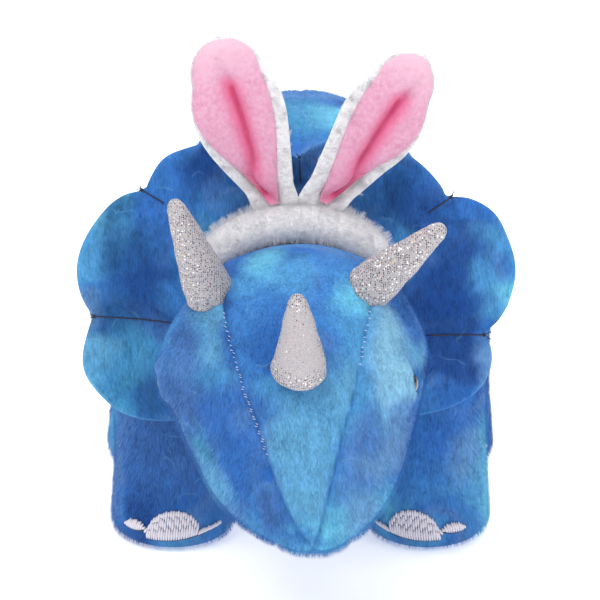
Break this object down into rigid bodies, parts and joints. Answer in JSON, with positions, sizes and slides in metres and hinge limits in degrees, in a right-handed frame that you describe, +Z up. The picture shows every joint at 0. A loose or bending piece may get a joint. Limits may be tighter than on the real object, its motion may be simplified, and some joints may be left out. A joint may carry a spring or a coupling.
{
  "type": "stuffed toy dinosaur",
  "caption": "Stuffed horned dinosaur that stands on its legs, with a scalloped neck frill and a headband with long ears, for play and cuddling.",
  "frame": {"origin": "on the floor, under the middle of the toy's box", "axes": "+Z up; the toy faces -Y; +X is on the right as seen from the front"},
  "size_m": [0.2019, 0.3381, 0.2643],
  "materials": {
    "blue_plush": "short brushed plush, tie-dyed in blues",
    "fibre_fill": "loose polyester fibre",
    "toe_thread": "satin stitch",
    "foil_cloth": "knit cloth with silver foil dots",
    "white_plush": "long white pile",
    "pink_plush": "short pink pile",
    "navy_thread": "twisted sewing thread",
    "label_tape": "woven tape, blank",
    "eye_plastic": "gloss black",
    "washer_plastic": "moulded, matt"
  },
  "bodies": {
    "torso": {"flank_left": "blue_plush", "flank_right": "blue_plush", "belly_panel": "blue_plush", "torso_fill": "fibre_fill", "closing_stitches": "navy_thread", "sewn_label": "label_tape"},
    "neck": {"neck_fill": "fibre_fill"},
    "head": {"forehead_panel": "blue_plush", "cheek_left": "blue_plush", "cheek_right": "blue_plush", "chin_panel": "blue_plush", "head_fill": "fibre_fill", "eye_left": "eye_plastic", "eye_right": "eye_plastic", "eye_washer_left": "washer_plastic", "eye_washer_right": "washer_plastic", "nose_horn_skin": "foil_cloth", "nose_horn_fill": "fibre_fill", "brow_horn_left_skin": "foil_cloth", "brow_horn_left_fill": "fibre_fill", "brow_horn_right_skin": "foil_cloth", "brow_horn_right_fill": "fibre_fill", "frill_face": "blue_plush", "frill_wadding": "fibre_fill", "frill_back": "blue_plush", "frill_threads": "navy_thread", "headband_sleeve": "white_plush", "headband_fill": "fibre_fill"},
    "tail": {"tail_skin": "blue_plush", "tail_fill": "fibre_fill"},
    "ear_left": {"ear_left_back": "white_plush", "ear_left_lining": "pink_plush"},
    "ear_right": {"ear_right_back": "white_plush", "ear_right_lining": "pink_plush"},
    "leg_front_left": {"leg_front_left_skin": "blue_plush", "leg_front_left_fill": "fibre_fill", "leg_front_left_sole": "blue_plush", "leg_front_left_toes": "toe_thread"},
    "leg_front_right": {"leg_front_right_skin": "blue_plush", "leg_front_right_fill": "fibre_fill", "leg_front_right_sole": "blue_plush", "leg_front_right_toes": "toe_thread"},
    "leg_rear_left": {"leg_rear_left_skin": "blue_plush", "leg_rear_left_fill": "fibre_fill", "leg_rear_left_sole": "blue_plush", "leg_rear_left_toes": "toe_thread"},
    "leg_rear_right": {"leg_rear_right_skin": "blue_plush", "leg_rear_right_fill": "fibre_fill", "leg_rear_right_sole": "blue_plush", "leg_rear_right_toes": "toe_thread"}
  },
  "joints": [
    {"name": "head_turn", "type": "hinge", "parent": "torso", "child": "neck", "pos_m": [0, -0.046, 0.12], "axis": [0, 0, 1], "range_deg": [-8, 8], "stiffness_Nm_per_rad": 1.5},
    {"name": "head_nod", "type": "hinge", "parent": "neck", "child": "head", "pos_m": [0, -0.046, 0.12], "axis": [1, 0, 0], "range_deg": [-6, 6], "stiffness_Nm_per_rad": 4},
    {"name": "leg_front_left_swing", "type": "hinge", "parent": "torso", "child": "leg_front_left", "pos_m": [-0.06, -0.02, 0.088], "axis": [1, 0, 0], "range_deg": [-8, 8], "stiffness_Nm_per_rad": 1.5},
    {"name": "leg_front_right_swing", "type": "hinge", "parent": "torso", "child": "leg_front_right", "pos_m": [0.06, -0.02, 0.088], "axis": [1, 0, 0], "range_deg": [-8, 8], "stiffness_Nm_per_rad": 1.5},
    {"name": "leg_rear_left_swing", "type": "hinge", "parent": "torso", "child": "leg_rear_left", "pos_m": [-0.064, 0.068, 0.088], "axis": [1, 0, 0], "range_deg": [-8, 8], "stiffness_Nm_per_rad": 1.5},
    {"name": "leg_rear_right_swing", "type": "hinge", "parent": "torso", "child": "leg_rear_right", "pos_m": [0.064, 0.068, 0.088], "axis": [1, 0, 0], "range_deg": [-8, 8], "stiffness_Nm_per_rad": 1.5},
    {"name": "tail_wag", "type": "hinge", "parent": "torso", "child": "tail", "pos_m": [0, 0.108, 0.1], "axis": [0, 0, 1], "range_deg": [-18, 18], "stiffness_Nm_per_rad": 0.3},
    {"name": "ear_left_fold", "type": "hinge", "parent": "head", "child": "ear_left", "pos_m": [-0.01365, -0.073, 0.18046], "axis": [0.9603, 0, 0.279], "range_deg": [-5, 25], "stiffness_Nm_per_rad": 0.15},
    {"name": "ear_right_fold", "type": "hinge", "parent": "head", "child": "ear_right", "pos_m": [0.01239, -0.073, 0.1801], "axis": [0.8616, 0, -0.5075], "range_deg": [-5, 25], "stiffness_Nm_per_rad": 0.15}
  ]
}
